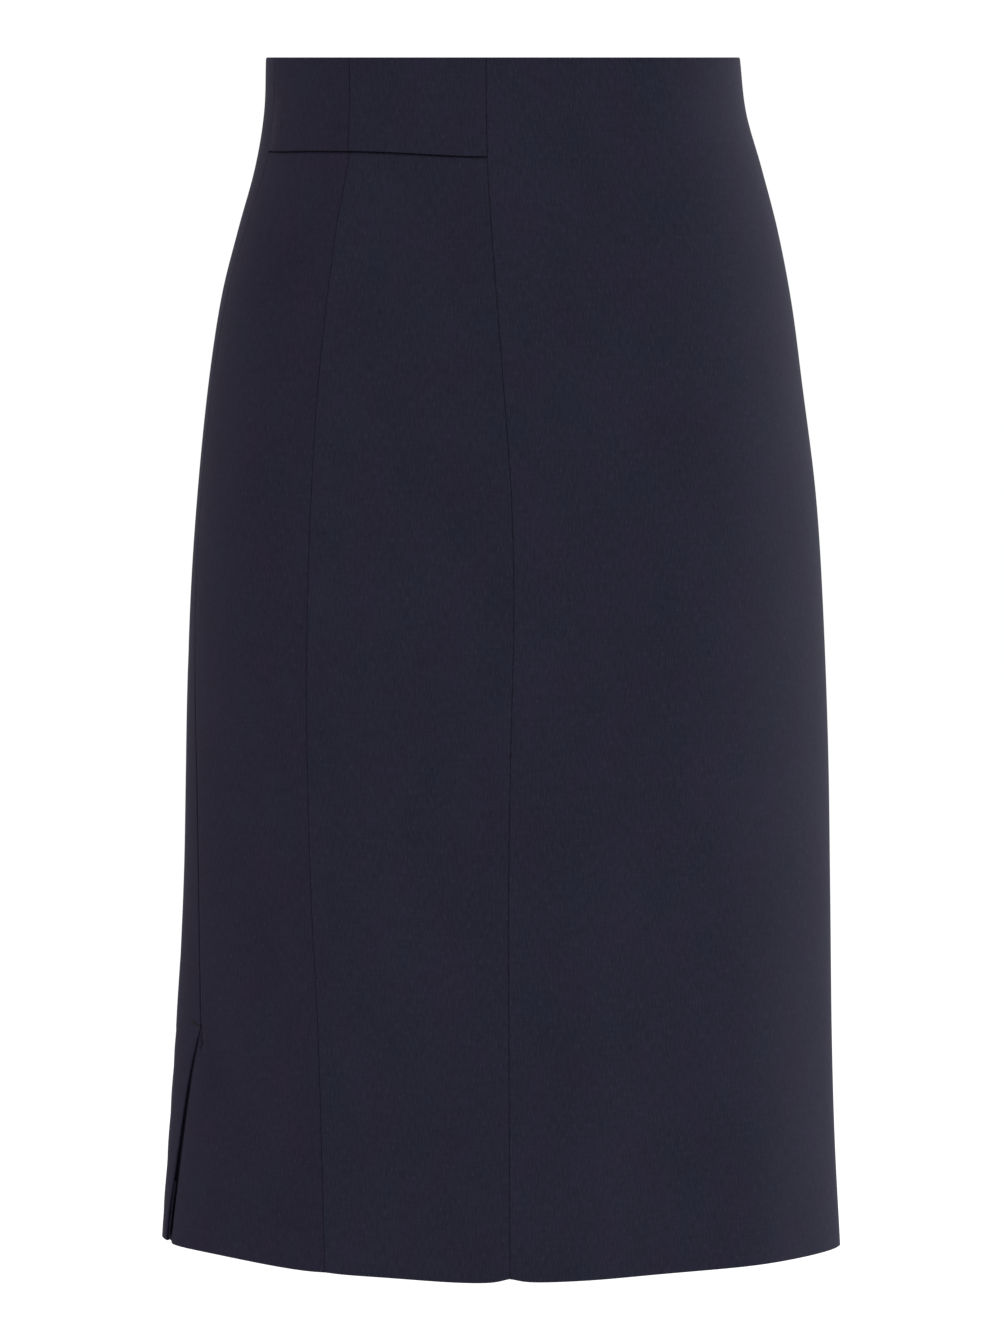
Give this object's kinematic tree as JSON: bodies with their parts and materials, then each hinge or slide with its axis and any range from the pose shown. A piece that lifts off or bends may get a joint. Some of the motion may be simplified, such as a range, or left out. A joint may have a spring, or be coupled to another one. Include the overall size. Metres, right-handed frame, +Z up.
{
  "type": "pencil skirt",
  "caption": "High-waisted knee-length pencil skirt in fine navy wool, filled out and hollow, with a one-sided yoke, shaped seams, a side vent and a concealed back zip.",
  "frame": {"origin": "middle of the waist opening, level with the waist's top edge", "axes": "+Z up, the front faces -Y, the wearer's left is +X; the skirt hangs from the origin down"},
  "size_m": [0.3797, 0.2456, 0.662],
  "materials": {
    "navy_wool": "fine plain-woven wool with a dry, slightly slubbed face and almost no sheen",
    "zip_tape": "close-woven zip tape dyed to match the cloth",
    "zip_enamel": "navy enamel over die-cast metal, half gloss"
  },
  "bodies": {
    "skirt": {"front_left_panel": "navy_wool", "front_middle_panel": "navy_wool", "front_side_panel": "navy_wool", "yoke_side": "navy_wool", "yoke_front": "navy_wool", "back_left_panel": "navy_wool", "back_right_panel": "navy_wool", "zip_tape": "zip_tape", "zip_slider": "zip_enamel"},
    "zip_pull": {"zip_pull": "zip_enamel"}
  },
  "joints": [
    {"name": "zip_pull_swing", "type": "hinge", "parent": "skirt", "child": "zip_pull", "pos_m": [0, 0.0867, -0.01071], "axis": [1, 0, 0], "range_deg": [0, 160]}
  ]
}
